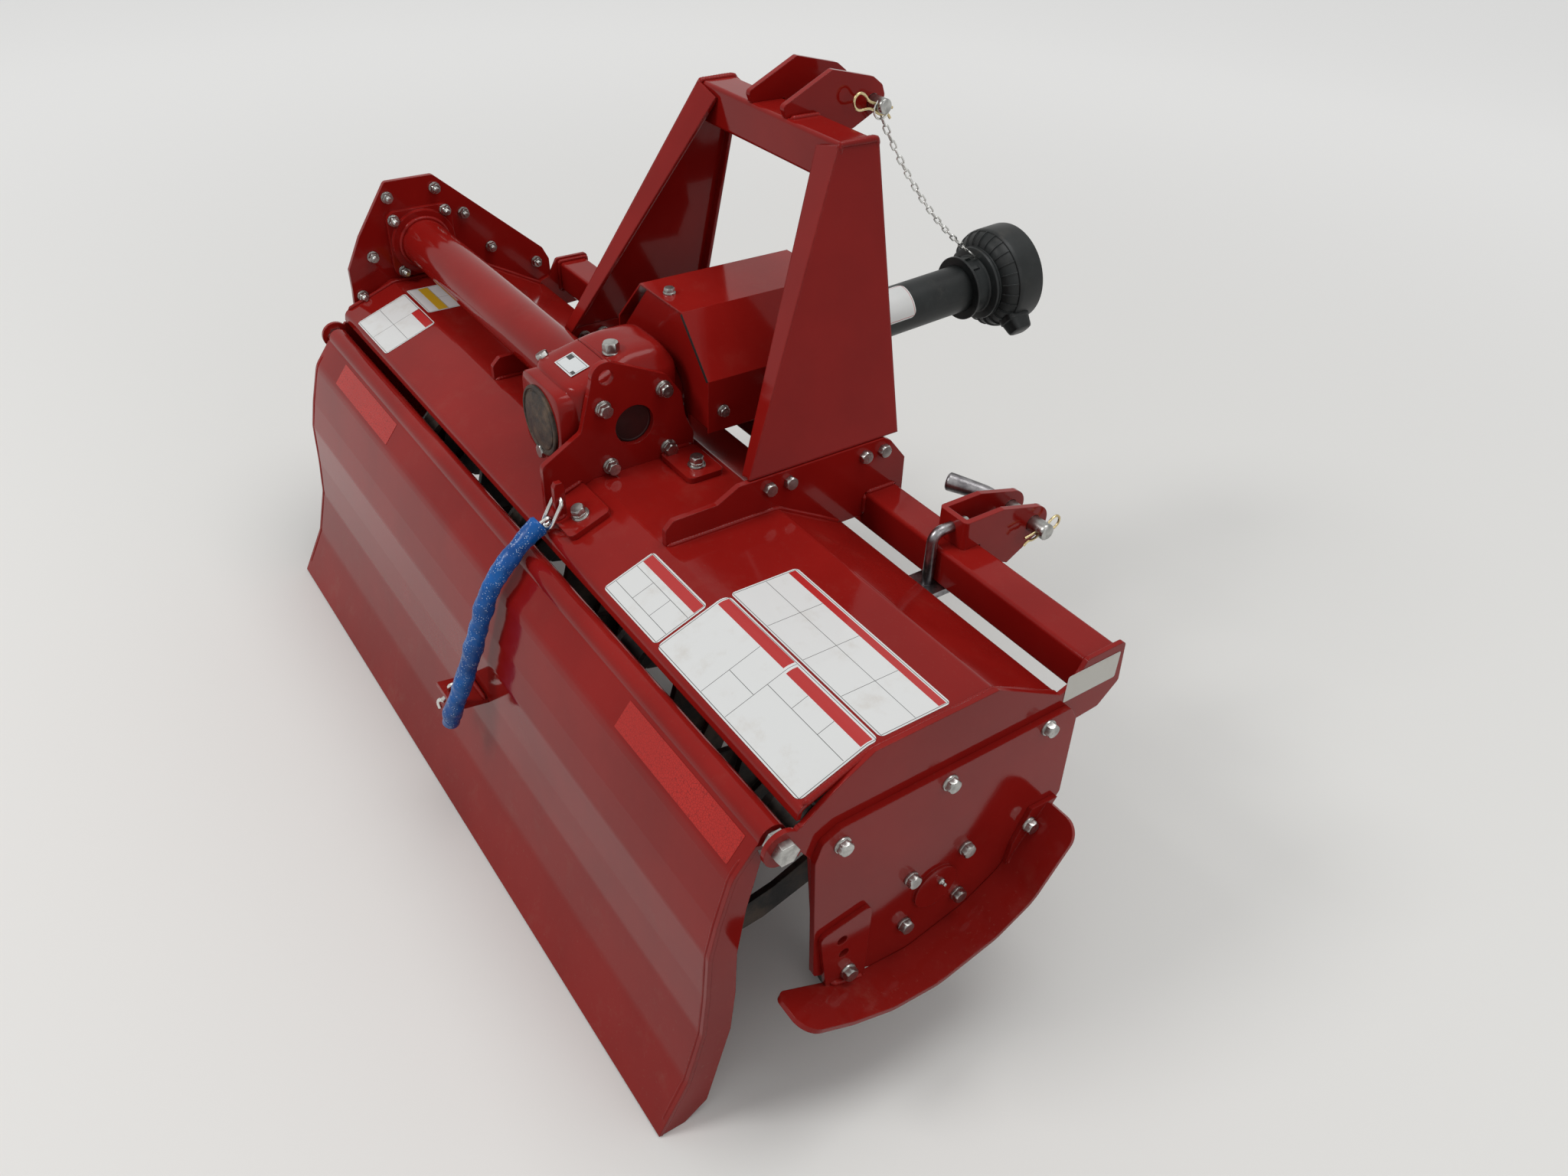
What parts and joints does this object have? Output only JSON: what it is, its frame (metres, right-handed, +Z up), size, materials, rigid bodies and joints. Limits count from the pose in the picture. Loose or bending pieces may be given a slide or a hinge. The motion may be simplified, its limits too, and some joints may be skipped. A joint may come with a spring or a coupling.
{
  "type": "rotary tiller",
  "caption": "Tractor-mounted rotary tiller with mast and hitch clevises, gear-driven tine rotor under a deck, hinged tailgate, side skids and a guarded driveline.",
  "frame": {"origin": "centre of the overall box at floor level", "axes": "+X to the machine's right seen from behind, +Y forward to the tractor, +Z up"},
  "size_m": [1.4215, 1.0117, 0.9289],
  "materials": {
    "red_paint": "gloss",
    "zinc_steel": "satin",
    "dark_steel": "satin",
    "black_guard": "matte",
    "dark_cap": "matte",
    "blue_sleeve": "matte",
    "bright_chain": "satin"
  },
  "bodies": {
    "frame": {"deck_hood": "red_paint", "end_plate_right": "red_paint", "end_plate_left": "red_paint", "bearing_plate_right": "red_paint", "side_drive_plate": "red_paint", "gear_case_cover": "red_paint", "front_tube": "red_paint", "deck_bracket_right": "red_paint", "deck_bracket_left": "red_paint", "mast_leg_right": "red_paint", "mast_leg_left": "red_paint", "mast_cross_tube": "red_paint", "top_clevis": "red_paint", "top_link_pin": "zinc_steel", "lower_clevis_right": "red_paint", "lower_clevis_left": "red_paint", "lower_pin_right": "zinc_steel", "lower_pin_left": "zinc_steel", "clamp_rod_right": "zinc_steel", "clamp_rod_left": "zinc_steel", "gearbox_housing": "red_paint", "gearbox_rear_cap": "dark_cap", "gearbox_plate_right": "red_paint", "gearbox_plate_left": "red_paint", "axle_tube": "red_paint", "pto_hood": "red_paint", "skid_right": "red_paint", "skid_left": "red_paint", "hinge_pin_right": "zinc_steel", "hinge_pin_left": "zinc_steel", "gate_chain": "blue_sleeve", "guard_chain": "bright_chain"},
    "tailgate": {"tailgate_sheet": "red_paint", "tailgate_end_right": "red_paint", "tailgate_end_left": "red_paint", "tailgate_lug": "red_paint"},
    "rotor": {"rotor_stubs": "zinc_steel", "rotor_tines": "dark_steel"},
    "driveline": {"guard_tube": "black_guard", "guard_bell": "black_guard", "guard_cone_rear": "black_guard"},
    "pto_shaft": {"drive_shaft": "dark_steel", "shaft_yoke": "dark_steel"},
    "input_fork": {"input_yoke": "dark_steel"}
  },
  "joints": [
    {"name": "tailgate_hinge", "type": "hinge", "parent": "frame", "child": "tailgate", "pos_m": [0, -0.3645, 0.417], "axis": [-1, 0, 0], "range_deg": [-9, 70], "deforming": ["gate_chain"]},
    {"name": "rotor_spin", "type": "hinge", "parent": "frame", "child": "rotor", "pos_m": [0, -0.1555, 0.23], "axis": [-1, 0, 0], "continuous": true},
    {"name": "driveline_lift", "type": "hinge", "parent": "frame", "child": "driveline", "pos_m": [0, -0.062, 0.547], "axis": [1, 0, 0], "range_deg": [0, 10], "deforming": ["guard_chain"]},
    {"name": "driveline_spin", "type": "hinge", "parent": "driveline", "child": "pto_shaft", "pos_m": [0, -0.062, 0.547], "axis": [0, 0.9983, 0.0576], "continuous": true},
    {"name": "input_spin", "type": "hinge", "parent": "frame", "child": "input_fork", "pos_m": [0, -0.062, 0.547], "axis": [0, 0.9983, 0.0576], "continuous": true}
  ],
  "couplings": [
    {"joint": "driveline_spin", "follows": "rotor_spin", "ratio": 2.5},
    {"joint": "input_spin", "follows": "rotor_spin", "ratio": 2.5}
  ]
}
